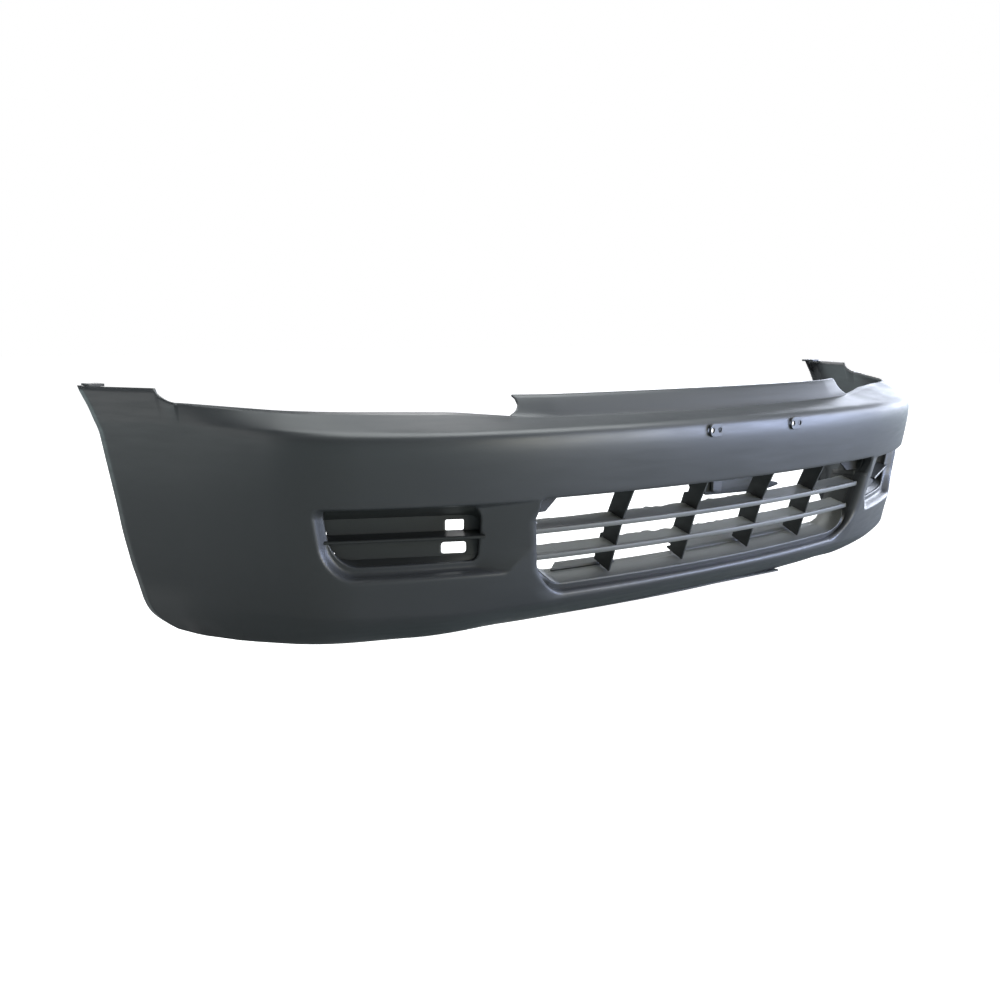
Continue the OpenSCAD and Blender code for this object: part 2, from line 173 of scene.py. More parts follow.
def section_curve(points, samples=721):
    """Dense points on the rounded section of each column: arrays of setback and height."""
    spans = points.shape[1] - 2
    u = np.linspace(0, 1, samples) * spans
    i = np.minimum(u.astype(int), spans - 1)
    t = (u - i)[None, :, None]
    first, last = i == 0, i == spans - 1
    b = points[:, i + 1]
    a = np.where(first[None, :, None], points[:, i], (points[:, i] + b) / 2)
    c = np.where(last[None, :, None], points[:, i + 2], (b + points[:, i + 2]) / 2)
    return (1 - t) ** 2 * a + 2 * t * (1 - t) * b + t * t * c


def rounded_meet(a, b, r):
    """Distance function of the corner where two half planes meet, rounded with radius r."""
    rounded = np.hypot(np.maximum(a + r, 0), np.maximum(b + r, 0)) - r
    return np.where((a > -r) & (b > -r), rounded, np.maximum(a, b))


def grille_distance(s, z):
    """Distance outside the edge of the grille opening, negative within it."""
    run, rise = GRILLE_TOP_S - GRILLE_LOW_S, GRILLE_TOP_Z - GRILLE_LOW_Z
    side = ((np.abs(s) - GRILLE_LOW_S) * rise - (z - GRILLE_LOW_Z) * run) / math.hypot(run, rise)
    return np.maximum(rounded_meet(side, GRILLE_LOW_Z - z, 46), rounded_meet(side, z - GRILLE_TOP_Z, 9))


def vent_distance(s, z, span=VENT_S, levels=VENT_Z, radii=(24, 11, 44, 10)):
    """Distance outside a vent outline; radii are top inner, bottom inner, bottom outer, top outer."""
    s = np.abs(s)
    inner, outer = span[0] - s, s - span[1] - VENT_LEAN * (z - levels[0] - 10)
    under, over = levels[0] - z, z - levels[1]
    corners = [(over, inner), (under, inner), (under, outer), (over, outer)]
    return np.max([rounded_meet(a, b, r) for (a, b), r in zip(corners, radii)], axis=0)


def recess(s, z):
    """Depth of the recess round a vent, which fades out towards the grille opening."""
    s = np.abs(s)
    inside = np.maximum(-vent_distance(s, z, LIP_S, LIP_Z, LIP_CORNERS), 0)
    fold = smooth(inside / FOLD_WIDTH)
    tip = WEDGE_TIP_S + (WEDGE_TOP_S - WEDGE_TIP_S) * smooth((z - 100) / 40)
    fade = (s - tip) / (VENT_S[0] - tip)
    both = -RECESS_BLEND * np.logaddexp(-fold / RECESS_BLEND, -np.minimum(fade, 1.6) / RECESS_BLEND)
    return RECESS_DEPTH * np.clip(np.minimum(both, 1), 0, 1)


def chin_share(z):
    """1 along the bottom edge of the grille opening, 0 from mid height up."""
    return 1 - smooth((z - CHIN_SHARE_FROM) / CHIN_SHARE_OVER)


def side_share(z):
    """1 along the sides of the grille opening, 0 at its top and bottom."""
    return smooth((z - SIDE_FROM) / SIDE_OVER) * (1 - smooth((z - SIDE_TO) / SIDE_FADE))


def lip_radius(z):
    """Radius of the edge of the grille opening: small at the top, larger along the chin and the sides."""
    return EDGE_RADIUS + CHIN_EXTRA_RADIUS * chin_share(z) + SIDE_EXTRA_RADIUS * side_share(z)


def lip_start(z):
    """Angle that the skin has already turned through where the edge radius begins."""
    return math.radians(CHIN_LIP_TURN) * chin_share(z)


def lip_offset(z):
    """Distance from the theoretical edge of the grille opening to where its radius begins."""
    return lip_radius(z) * (1 - np.sin(lip_start(z)))


def roll(s, z):
    """Setback of the broad roll where the top of the chin turns into the grille opening."""
    out = np.maximum(grille_distance(s, z), lip_offset(z))
    return ROLL_DEPTH * chin_share(z) * np.clip(1 - out / ROLL_REACH, 0, 1) ** 2


def arch_s(z):
    """Distance along the face of the wheel arch edge at height z."""
    return along(ARCH_EDGE, z, 8)


def mould_point(s, inset, z):
    """Crown frame point at distance s along the face, with its setback and height; s may be negative."""
    side, s = np.where(s < 0, -1.0, 1.0), np.abs(s)
    fold = arch_s(z) - BAND_WIDTH
    beyond = BAND_BEND * np.logaddexp(0, (s - fold) / BAND_BEND)
    x, y, h = crown(s - beyond)
    x = x - inset * np.sin(h) + beyond * np.cos(h + BAND_TURN)
    y = y + inset * np.cos(h) + beyond * np.sin(h + BAND_TURN)
    return np.stack([side * x, y, z + 0 * x], -1)


def face_point(s, z):
    """Point of the outer face at distance s and height z, for the front of the cover."""
    s, z = np.broadcast_arrays(np.asarray(s, float), np.asarray(z, float))
    curve = section_curve(section(np.abs(s)))
    inset = np.array([np.interp(zz, c[:, 1], c[:, 0]) for zz, c in zip(z, curve)])
    return mould_point(s, inset + recess(s, z) + roll(s, z), z)


# ---------------------------------------------------------------- mesh helpers
def put(points):
    """Crown frame millimetres to CAD frame metres."""
    points = np.asarray(points, float)
    return (points + (0, CROWN_Y, 0)) / 1000


def piece(name, points, faces, material, nodes=(), smooth_angle=40):
    """Makes a mesh piece that rides on the body and stands for the given CAD nodes."""
    mesh = bpy.data.meshes.new(name)
    mesh.from_pydata(put(points).tolist(), [], [list(map(int, f)) for f in faces])
    mesh.validate()
    mesh.materials.append(material)
    mesh.shade_smooth()
    mesh.set_sharp_from_angle(angle=math.radians(smooth_angle))
    thing = bpy.data.objects.new(name, mesh)
    bpy.context.scene.collection.objects.link(thing)
    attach(thing, "root")
    if nodes:
        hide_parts(*nodes)
    return thing


def thicken(thing, thickness, offset=-1.0):
    """Gives a sheet its wall thickness; offset -1 grows it inwards, against its normals."""
    solid = thing.modifiers.new("wall", "SOLIDIFY")
    solid.thickness = thickness / 1000
    solid.offset = offset
    solid.use_even_offset = False
    return thing


def grid_faces(columns, rows):
    """Quads of a grid whose points are listed column by column."""
    i, j = np.meshgrid(np.arange(columns - 1), np.arange(rows - 1), indexing="ij")
    a, b = (i * rows + j).ravel(), ((i + 1) * rows + j).ravel()
    return np.stack([a, b, b + 1, a + 1], -1)


def tube_faces(columns, rows):
    """Quads round a bar whose points are listed section by section, without its end caps."""
    faces = grid_faces(columns, rows).tolist()
    return faces + [[i * rows + rows - 1, (i + 1) * rows + rows - 1, (i + 1) * rows, i * rows]
                    for i in range(columns - 1)]


def gradient(distance, u, v):
    """Unit direction in which a distance function grows."""
    e = 0.05
    gu = (distance(u + e, v) - distance(u - e, v)) / (2 * e)
    gv = (distance(u, v + e) - distance(u, v - e)) / (2 * e)
    size = np.hypot(gu, gv) + 1e-9
    return gu / size, gv / size


def cut_grid(u, v, distances):
    """Cuts holes out of a grid of flat points: points near a hole's edge move onto it.

    u and v are (columns, rows) arrays, changed in place. Returns the faces and, for each hole,
    the point numbers round its edge in order.
    """
    columns, rows = u.shape
    number = np.arange(u.size).reshape(u.shape)
    state = np.full(u.shape, 1.0)
    for distance in distances:
        d = distance(u, v)
        snap = np.zeros(u.shape, bool)
        for a, b in ((np.s_[:-1, :], np.s_[1:, :]), (np.s_[:, :-1], np.s_[:, 1:])):
            cross = (d[a] < 0) != (d[b] < 0)
            near_a = np.abs(d[a]) <= np.abs(d[b])
            snap[a] |= cross & near_a
            snap[b] |= cross & ~near_a
        for _ in range(3):
            gu, gv = gradient(distance, u[snap], v[snap])
            off = distance(u[snap], v[snap])
            u[snap] -= gu * off
            v[snap] -= gv * off
        state = np.where(snap, 0.0, np.where(d < 0, -1.0, state))
    quads = grid_faces(columns, rows)
    level = state.ravel()[quads]
    inside = (level < 0).sum(1)
    faces = [tuple(q) for q in quads[(inside == 0) & (level.max(1) > 0)]]
    for q, l in zip(quads[inside == 1], level[inside == 1]):
        if (l > 0).any():
            k = int(np.argmin(l))
            faces.append((q[(k + 1) % 4], q[(k + 2) % 4], q[(k + 3) % 4]))
    return faces, hole_loops(faces, state.ravel(), [f(u, v).ravel() for f in distances])


def hole_loops(faces, state, distances):
    """The ordered edge of each hole, walked along the edges that only one face uses."""
    edges = {}
    for f in faces:
        for a, b in zip(f, f[1:] + f[:1]):
            if state[a] == 0 and state[b] == 0:
                edges[(a, b)] = True
    step = {a: b for a, b in edges if (b, a) not in edges}
    loops = []
    for d in distances:
        mine = [a for a in step if abs(d[a]) < 0.5]
        loop, at = [], mine[0]
        while at not in loop[:1]:
            loop.append(at)
            at = step[at]
        loops.append(loop)
    return loops


# ---------------------------------------------------------------- materials
def noise(nodes, links, place, scale, detail=3.0, stretch=(1, 1, 1)):
    """Noise value in object space, stretched along the axes."""
    mapping = nodes.new("ShaderNodeMapping")
    mapping.inputs["Scale"].default_value = stretch
    links.new(place, mapping.inputs["Vector"])
    texture = nodes.new("ShaderNodeTexNoise")
    texture.inputs["Scale"].default_value = scale
    texture.inputs["Detail"].default_value = detail
    links.new(mapping.outputs["Vector"], texture.inputs["Vector"])
    return texture.outputs["Fac"]


def spread(nodes, links, value, low, high, start=0.3, end=0.7):
    """Maps a noise value to the range low to high."""
    node = nodes.new("ShaderNodeMapRange")
    node.inputs["From Min"].default_value = start
    node.inputs["From Max"].default_value = end
    node.inputs["To Min"].default_value = low
    node.inputs["To Max"].default_value = high
    links.new(value, node.inputs["Value"])
    return node.outputs["Result"]


def primer(name, dark, light, roughness=(0.36, 0.46), grain=0.05, streaks=0.0):
    """Satin primer on moulded plastic: soft tone changes, fine grain and faint rub marks."""
    material = bpy.data.materials.new(name)
    material.use_nodes = True
    nodes, links = material.node_tree.nodes, material.node_tree.links
    shader = nodes["Principled BSDF"]
    place = nodes.new("ShaderNodeTexCoord").outputs["Object"]
    cloud = noise(nodes, links, place, 3.5, 4)
    fleck = noise(nodes, links, place, 900, 2)
    flow = noise(nodes, links, place, 14, 4, (1, 1, 9))
    tone = nodes.new("ShaderNodeMix")
    tone.data_type = "RGBA"
    tone.inputs["A"].default_value = (*dark, 1)
    tone.inputs["B"].default_value = (*light, 1)
    total = nodes.new("ShaderNodeMath")
    total.operation = "ADD"
    links.new(spread(nodes, links, cloud, 0, 0.7), total.inputs[0])
    links.new(spread(nodes, links, fleck, 0, 0.3), total.inputs[1])
    links.new(total.outputs["Value"], tone.inputs["Factor"])
    links.new(tone.outputs["Result"], shader.inputs["Base Color"])
    rough = nodes.new("ShaderNodeMath")
    rough.operation = "ADD"
    links.new(spread(nodes, links, flow, *roughness), rough.inputs[0])
    links.new(spread(nodes, links, fleck, -0.02, 0.02), rough.inputs[1])
    links.new(rough.outputs["Value"], shader.inputs["Roughness"])
    shader.inputs["Specular IOR Level"].default_value = 0.5
    bump = nodes.new("ShaderNodeBump")
    bump.inputs["Strength"].default_value = grain
    bump.inputs["Distance"].default_value = 0.0004
    links.new(fleck, bump.inputs["Height"])
    normal = bump.outputs["Normal"]
    if streaks:
        drag = nodes.new("ShaderNodeBump")
        drag.inputs["Strength"].default_value = streaks
        drag.inputs["Distance"].default_value = 0.0006
        links.new(noise(nodes, links, place, 40, 4, (1, 8, 12)), drag.inputs["Height"])
        links.new(normal, drag.inputs["Normal"])
        normal = drag.outputs["Normal"]
    links.new(normal, shader.inputs["Normal"])
    return material


skin_primer = primer("skin_primer", (0.040, 0.043, 0.047), (0.050, 0.053, 0.057))
# Lighter copy of the primer for the grille duct floor: painted light on its up-facing top.
floor_painted_light = primer("floor_painted_light", (0.085, 0.089, 0.087), (0.13, 0.134, 0.13), (0.42, 0.56), 0.12, 0.15)
# Lighter copy of the primer for the slats, though they are the same plastic as the skin: painted light where
# their tops catch the light.
slat_primer = primer("slat_primer", (0.105, 0.110, 0.107), (0.15, 0.155, 0.15), (0.40, 0.52), 0.12, 0.15)
# Lighter copy of the primer for the shelf plates and the bracket clip: painted light.
shelf_painted_light = primer("shelf_painted_light", (0.050, 0.053, 0.053), (0.075, 0.078, 0.078), (0.45, 0.6), 0.12, 0.15)
# Darker copy of the primer for ribs, header, walls, bracket and undertray: painted shade deep in the grille.
web_painted_shade = primer("web_painted_shade", (0.022, 0.025, 0.025), (0.036, 0.040, 0.040), (0.5, 0.65), 0.12, 0.12)
# Darker copy of the primer for the duct walls, vent housings and louvres: painted shade inside the openings.
inner_painted_shade = primer("inner_painted_shade", (0.018, 0.020, 0.020), (0.030, 0.033, 0.033), (0.45, 0.6), 0.1, 0.1)
# Darkest copy of the primer for the gussets: painted shade in the grille's upper corners.
shade_primer = primer("shade_primer", (0.008, 0.009, 0.010), (0.014, 0.015, 0.016), (0.55, 0.7))
# Darker copy of the primer for the sloped surround inside the grille opening: painted shade.
surround_painted_shade = primer("surround_painted_shade", (0.020, 0.022, 0.023), (0.028, 0.030, 0.032), (0.38, 0.48))

# CAD nodes drawn in the darker painted-shade copy of the primer.
PAINTED_SHADE_NODES = ("grille_rib", "grille_header", "grille_wall", "vent_housing", "undertray")


def node_material(name):
    """Material of a CAD node, for those that show as they are: painted shade (darker copies of the primer) on
    the gussets and on the webs of the grille, painted light (a lighter copy) on the slats.
    """
    if "gusset" in name:
        return shade_primer
    if name.startswith(PAINTED_SHADE_NODES):
        return web_painted_shade
    return slat_primer if "slat" in name else skin_primer


for name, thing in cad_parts.items():
    thing.data.materials.clear()
    thing.data.materials.append(node_material(name))

# ---------------------------------------------------------------- outer skin
VENT_ROUND, VENT_TAIL = 3.2, 2.5
ROLL_STEPS = 7
# Reach of the grille surround beyond its rolled edge, at the chin, at the sides and at the top
SURROUND_IN = (9, 3, 1)
SURROUND_DEEP = (2.5, 9, 15)
SURROUND_STEPS = (0.12, 0.35, 0.7, 1.0)
SURROUND_LOW_Z = 62
KEY_HEIGHTS = [GRILLE_LOW_Z, 100, 120, 187, 200, 207]
ROWS_BETWEEN = [20, 12, 8, 22, 6, 4, 46]
COLUMNS = 861
BOSS_S, BOSS_Z = 97.03, 285
BOSS_WINDOW = (9, 5)


def skin_grid():
    """Distance along the face, height and setback of each grid point."""
    nominal = np.linspace(-NOMINAL_END, NOMINAL_END, COLUMNS)
    n = np.abs(nominal)
    curve = section_curve(section(n))
    place = np.linspace(0, 1, curve.shape[1])
    whole = NOMINAL_END - STRETCH_FROM
    s, z, inset = [], [], []
    for i in range(len(nominal)):
        heights = curve[i, :, 1]
        keys = [0.0] + [float(np.interp(k, heights, place)) for k in KEY_HEIGHTS] + [1.0]
        v = np.concatenate([np.linspace(a, b, m, endpoint=False)
                            for a, b, m in zip(keys[:-1], keys[1:], ROWS_BETWEEN)] + [[1.0]])
        zi = np.interp(v, place, heights)
        stretched = STRETCH_FROM + (n[i] - STRETCH_FROM) * (arch_s(zi) - STRETCH_FROM) / whole
        s.append(np.where(n[i] <= STRETCH_FROM, n[i], stretched) * (1 if nominal[i] >= 0 else -1))
        z.append(zi)
        inset.append(np.interp(v, place, curve[i, :, 0]))
    return np.array(s), np.array(z), np.array(inset)


def nothing(z):
    return 0 * z


def vent_radius(z):
    return VENT_ROUND + 0 * z


def one_side(distance, side, offset):
    """A hole's distance function on one side of the car, or on both if side is 0."""
    def function(s, z):
        d = distance(s, z) - offset(z)
        return d if side == 0 else np.where(s * side > 0, d, 500.0)
    return function


def boss_distance(s, z):
    """Distance outside the window in the skin behind a plate boss."""
    half_width, half_height = BOSS_WINDOW
    return np.maximum(np.abs(np.abs(s) - BOSS_S) - half_width, np.abs(z - BOSS_Z) - half_height)


holes = [one_side(grille_distance, 0, lip_offset), one_side(vent_distance, -1, vent_radius),
         one_side(vent_distance, 1, vent_radius)]
windows = [one_side(boss_distance, side, nothing) for side in (-1, 1)]
skin_s, skin_z, skin_inset = skin_grid()
before_s, before_z = skin_s.copy(), skin_z.copy()
skin_faces, skin_loops = cut_grid(skin_s, skin_z, holes + windows)
skin_points = mould_point(skin_s, skin_inset + recess(skin_s, skin_z) + roll(skin_s, skin_z), skin_z)
moved = (skin_s != before_s) | (skin_z != before_z)
skin_points[moved] = face_point(skin_s[moved], skin_z[moved])
WIDEN = HALF_WIDTH / np.abs(skin_points[..., 0]).max()
skin_points = skin_points.reshape(-1, 3)

heading = float(crown(VENT_MIDDLE_S)[2])


def lip_profile(distance, radius, begin, inward, tail):
    """Profile of an edge that rolls inwards, then follows the (further in, deeper) steps of tail."""
    def profile(s, z):
        gs, gz = gradient(distance, s, z)
        r, first = radius(z), begin(z)
        turns = [first + (math.pi / 2 - first) * k / ROLL_STEPS for k in range(1, ROLL_STEPS + 1)]
        steps = [(r * (np.sin(t) - np.sin(first)), r * (np.cos(first) - np.cos(t))) for t in turns]
        stations = []
        for across, deep in steps + tail(z):
            p = face_point(s - gs * across, z - gz * across)
            stations.append(p + np.asarray(deep)[..., None] * inward)
        return stations
    return profile


def grille_reach(z):
    """How far in and how deep the sloped surround of the grille goes beyond its rolled edge."""
    side = smooth((z - 62) / 40)
    top = smooth((z - 178) / 20)
    shares = (1 - side, side * (1 - top), top)
    across = sum(reach * share for reach, share in zip(SURROUND_IN, shares))
    deep = sum(reach * share for reach, share in zip(SURROUND_DEEP, shares))
    return lip_offset(z) + across, lip_radius(z) * np.cos(lip_start(z)) + deep


def grille_tail(z):
    across, deep = grille_reach(z)
    r, rolled = lip_offset(z), lip_radius(z) * np.cos(lip_start(z))
    return [(r + (across - r) * t, rolled + (deep - rolled) * t) for t in SURROUND_STEPS]


def vent_tail(z):
    return [(vent_radius(z), vent_radius(z) + VENT_TAIL)]


all_points, all_faces, inner_rings = [skin_points], list(skin_faces), []
count = len(skin_points)
directions = [np.array([0, 1, 0])]
directions += [np.array([-side * math.sin(heading), math.cos(heading), 0]) for side in (-1, 1)]
settings = [(lip_radius, lip_start, grille_tail)] + [(vent_radius, nothing, vent_tail)] * 2
for loop, distance, inward, (radius, begin, tail) in zip(skin_loops, holes, directions, settings):
    loop = np.array(loop)
    s, z = skin_s.ravel()[loop], skin_z.ravel()[loop]
    stations = np.stack(lip_profile(distance, radius, begin, inward, tail)(s, z), 1)
    depth = stations.shape[1]
    ids = np.concatenate([loop[:, None], count + np.arange(stations.shape[0] * depth).reshape(-1, depth)], 1)
    ahead = np.roll(ids, -1, 0)
    quads = np.stack([ids[:, :-1], ids[:, 1:], ahead[:, 1:], ahead[:, :-1]], -1).reshape(-1, 4)
    # Tail faces of the grille surround above SURROUND_LOW_Z are marked for the darker copy of the primer:
    # painted shade.
    if not inner_rings:
        first_surround = len(all_faces)
        in_tail = np.arange(depth) >= depth - len(SURROUND_STEPS) - 1
        surround = np.tile(in_tail, len(loop)) & np.repeat(z > SURROUND_LOW_Z, depth)
    all_faces += [tuple(q) for q in quads]
    all_points.append(stations.reshape(-1, 3))
    count += stations.shape[0] * depth
    inner_rings.append((s, z, stations[:, -1]))

points = np.concatenate(all_points)
used = np.zeros(len(points), bool)
used[np.concatenate([np.array(f) for f in all_faces])] = True
renumber = np.cumsum(used) - 1
skin = piece("fascia_skin_shell", points[used] * (WIDEN, 1, 1), [[renumber[k] for k in f] for f in all_faces],
             skin_primer, ["fascia_skin"], smooth_angle=60)
# Second slot: the darker painted-shade copy of the primer, on the marked surround faces.
skin.data.materials.append(surround_painted_shade)
for offset, dark in enumerate(surround):
    skin.data.polygons[first_surround + offset].material_index = int(dark)
thicken(skin, WALL)

# ---------------------------------------------------------------- grille duct
SLAT_SLOPE = math.radians(17)
FLOOR_SLOPE = math.tan(SLAT_SLOPE)
WALL_SLOPE = 0.03
EDGE_ROUND = 1.6
DUCT_LENGTH, DUCT_EXTRA = 42, 2
FLOOR_TOP_Z, HEADER_LOW_Z = 92, 196
DUCT_WALL = 2.6


def duct_stations():
    """Rings of the duct behind the grille surround: a rounded edge, then walls that run rearwards."""
    s, z, _ = inner_rings[0]
    distance = holes[0]
    gs, gz = gradient(distance, s, z)
    across, deep = grille_reach(z)
    bottom = 1 - smooth((z - 75) / 45)
    stations = []
    for t in np.linspace(-0.2, math.pi / 2, 6):
        a = across - EDGE_ROUND + EDGE_ROUND * (1 + math.sin(t)) * 0.8
        d = deep - 0.6 + EDGE_ROUND * (1 - math.cos(t))
        stations.append((a, d))
    last_a, last_d = stations[-1]
    length = DUCT_LENGTH + DUCT_EXTRA * bottom
    slope = FLOOR_SLOPE * bottom + WALL_SLOPE * (1 - bottom)
    for t in (0.08, 0.3, 0.6, 1.0):
        stations.append((last_a + slope * length * t, last_d + length * t))
    rings = []
    for a, d in stations:
        rings.append(face_point(s - gs * a, z - gz * a) + np.asarray(d)[..., None] * directions[0])
    return s, z, np.stack(rings, 1)


duct_s, duct_z, duct_rings = duct_stations()
between = (duct_z >= FLOOR_TOP_Z) & (duct_z <= HEADER_LOW_Z)
duct_parts = {
    "grille_floor": duct_z < FLOOR_TOP_Z,
    "grille_header": duct_z > HEADER_LOW_Z,
    "grille_wall_left": (duct_s < 0) & between,
    "grille_wall_right": (duct_s > 0) & between,
}
for name, mine in duct_parts.items():
    total, depth = duct_rings.shape[:2]
    quads = []
    for i in range(total):
        ahead = (i + 1) % total
        if mine[i] or mine[ahead] and not any(other[i] for key, other in duct_parts.items() if key < name):
            for j in range(depth - 1):
                quads.append((i * depth + j, i * depth + j + 1, ahead * depth + j + 1, ahead * depth + j))
    keep = sorted({k for q in quads for k in q})
    lookup = {k: i for i, k in enumerate(keep)}
    # The duct floor takes the lighter painted-light copy of the primer; its walls and header take the darker
    # painted-shade copy.
    duct = piece(name + "_shell", duct_rings.reshape(-1, 3)[keep] * (WIDEN, 1, 1),
                 [[lookup[k] for k in q] for q in quads],
                 floor_painted_light if name == "grille_floor" else inner_painted_shade, [name],
                 60)
    thicken(duct, DUCT_WALL)

# ---------------------------------------------------------------- shelves behind the floor
SHELF_THICK = 2.2


def sheet(name, low_x, high_x, near, far, near_z, far_z, node, cut=0.0):
    """A plate on the front arc from setback near to far; cut trims its left end at an angle."""
    x = np.linspace(low_x, high_x, 41)
    rows = []
    for part in np.linspace(0, 1, 5):
        xs = x + cut * part * (high_x - x) / (high_x - low_x)
        setback = near + (far - near) * part
        level = near_z + (far_z - near_z) * part + 0 * xs
        rows.append(np.stack([xs, xs * xs / 2 / FRONT_RADIUS + setback, level], -1))
    faces = grid_faces(len(x), len(rows))[:, ::-1]
    # Shelf plates in the lighter painted-light copy of the primer.
    thing = piece(name, np.stack(rows, 1).reshape(-1, 3), faces, shelf_painted_light, [node], 50)
    return thicken(thing, SHELF_THICK)


sheet("floor_shelf_plate_right", -53, 275, 97, 140, 81.5, 94, "floor_shelf_right")
sheet("floor_shelf_plate_left", -318, -200, 97, 118, 82.5, 87.5, "floor_shelf_left", cut=24)

# ---------------------------------------------------------------- slats and ribs
# Height, setback and half length of each slat
SLATS = {"upper": (156.5, 41, 398), "lower": (116, 55, 385)}
SLAT_NOSE, SLAT_HALF_THICK = 2.4, 1.1
# Steps (rearwards, up) of the small lip that hangs below a slat's nose
HANGING_LIP = [(0.1, -2.2), (0.4, -4.4), (0.9, -5.4), (1.8, -5.9), (2.8, -5.4), (3.3, -4.0), (4.0, -2.0)]
SEAM_DEPTH, SEAM_WIDTH = 0.35, 0.6
SLAT_DEPTH = 31
SEAM_X = (-344, 344)
RIB_X = (-230, -80, 80, 230)


WANDER_KNOTS, WANDER_HALF = 90, 420


def wander(x, seed, size):
    """A ragged line: noise of the given size between evenly spaced knots, the same on every run."""
    knots = np.random.default_rng(seed).uniform(-1, 1, WANDER_KNOTS)
    return size * np.interp(x, np.linspace(-WANDER_HALF, WANDER_HALF, WANDER_KNOTS), knots)


def slat(name, z, setback, half):
    """One slat: rounded nose, sloped top with fine seams, and a rear edge left ragged by trimming."""
    x = np.linspace(-half, half, 381)
    for seam in SEAM_X:
        x = np.concatenate([x, seam + np.array([-1.2, -0.5, 0, 0.5, 1.2])])
    x = np.sort(x)
    ragged = smooth((x + 215) / 60) * smooth((60 - x) / 80) + 0.25
    rear = SLAT_DEPTH + wander(x, 3 + int(z), 2.6) * ragged
    groove = SEAM_DEPTH * sum(np.exp(-((x - seam) / SEAM_WIDTH) ** 2) for seam in SEAM_X)
    nose, thin = SLAT_NOSE, SLAT_HALF_THICK
    outline = []
    for a in np.linspace(math.radians(107), math.radians(180), 6):
        outline.append((nose + nose * math.cos(a) + 0 * x, nose * math.sin(a) + 0 * x))
    for run, up in HANGING_LIP:
        outline.append((run + 0 * x, up + 0 * x))
    for part in (0.12, 1.0):
        run = nose + (rear - nose) * part
        outline.append((run, (run - nose) * math.tan(SLAT_SLOPE) - thin))
    for part in (1.0, 0.6, 0.2, 0.05):
        run = nose + (rear - nose) * part
        outline.append((run, (run - nose) * math.tan(SLAT_SLOPE) + thin - groove * (part < 1)))
    rings = []
    for out, up in outline:
        r = FRONT_RADIUS - setback - out
        angle = x / FRONT_RADIUS
        rings.append(np.stack([r * np.sin(angle), FRONT_RADIUS - r * np.cos(angle), z + up], -1))
    rings = np.stack(rings, 1)
    count = rings.shape[1]
    faces = tube_faces(len(x), count)
    faces += [list(range(count)), [(len(x) - 1) * count + k for k in reversed(range(count))]]
    node = "grille_slat_" + name
    # Slats in the lighter painted-light copy of the primer.
    return piece("slat_" + name, rings.reshape(-1, 3), faces, slat_primer, [node], 50)


for name, (z, setback, half) in SLATS.items():
    slat(name, z, setback, half)


def plate(name, outlines, thickness, place, material, nodes=(), edge=0.5):
    """A flat plate from 2-D outlines in mm, with rounded edges; place maps (u, v, w) to the crown frame."""
    curve = bpy.data.curves.new(name, "CURVE")
    curve.dimensions = "2D"
    curve.fill_mode = "BOTH"
    curve.extrude = thickness / 2 - edge
    curve.bevel_depth = edge
    curve.bevel_resolution = 2
    for outline in outlines:
        spline = curve.splines.new("POLY")
        spline.points.add(len(outline) - 1)
        for point, (u, v) in zip(spline.points, outline):
            point.co = (u, v, 0, 1)
        spline.use_cyclic_u = True
    maker = bpy.data.objects.new(name + "_maker", curve)
    mesh = bpy.data.meshes.new_from_object(maker)
    bpy.data.objects.remove(maker)
    co = np.array([v.co for v in mesh.vertices])
    spots = place(co[:, 0], co[:, 1], co[:, 2])
    faces = [list(f.vertices) for f in mesh.polygons]
    bpy.data.meshes.remove(mesh)
    return piece(name, spots, faces, material, nodes, 35)


def round_outline(corners, step=7):
    """Outline with rounded corners from (u, v, radius) points."""
    out = []
    for i, (u, v, r) in enumerate(corners):
        p = np.array([u, v], float)
        back = np.array(corners[i - 1][:2]) - p
        on = np.array(corners[(i + 1) % len(corners)][:2]) - p
        a, b = back / np.linalg.norm(back), on / np.linalg.norm(on)
        reach = r / math.tan(max(0.05, math.acos(np.clip(a @ b, -1, 1)) / 2)) if r else 0
        for t in np.linspace(0, 1, step if r else 1):
            out.append(tuple((1 - t) ** 2 * (p + a * reach) + 2 * t * (1 - t) * p + t * t * (p + b * reach)))
    return out


RIB_HEIGHTS, RIB_SETBACKS = [77, 158, 214], [74, 47, 20]
RIB_DEPTH, RIB_THICK = 35, 3.2
RIB_TAIL_Z = 90


def rib_outline(chips):
    """Side view of a rib as (setback, height), with chips where its rear edge was trimmed."""
    foot, knee, top = RIB_HEIGHTS

    def front(z):
        return np.interp(z, RIB_HEIGHTS, RIB_SETBACKS)

    def back(z):
        return front(z) + RIB_DEPTH

    rear = [(back(top - 2), top - 2)]
    for z, bite in chips:
        rear += [(back(z + 7), z + 7), (back(z) - bite, z + 1)]
        rear += [(back(z) - bite * 0.6, z - 6), (back(z - 8) + 1, z - 8)]
    rear += [(back(RIB_TAIL_Z), RIB_TAIL_Z)]
    return [(front(top), top), *rear, (front(foot), foot - 1), (front(knee), knee)]


# Height and depth of each chip, for each rib
CHIPS = [[(139, 4), (108, 7)], [(190, 6), (100, 6)], [(150, 3), (112, 4)], [(146, 3)]]
for number, (x, chips) in enumerate(zip(RIB_X, CHIPS), 1):
    sag = x * x / 2 / FRONT_RADIUS
    outline = round_outline([(u, v, 0.8) for u, v in rib_outline(chips)], 3)
    # Ribs in the darker painted-shade copy of the primer.
    plate(f"rib_{number}", [outline], RIB_THICK,
          lambda u, v, w, x=x, sag=sag: np.stack([x + w, u + sag, v], -1),
          web_painted_shade, [f"grille_rib_{number}"])

# ---------------------------------------------------------------- bracket behind the grille
BRACKET_Y, CLIP_Y = 132, 125
bracket = [(36, 220, 1), (36, 160, 4), (150, 156, 6), (205, 157, 3),
           (231, 161, 1), (226, 165, 2), (168, 176, 8), (163, 220, 1)]
clip = [(47, 166, 2), (67, 164, 2), (68, 186, 3), (47, 188, 2)]
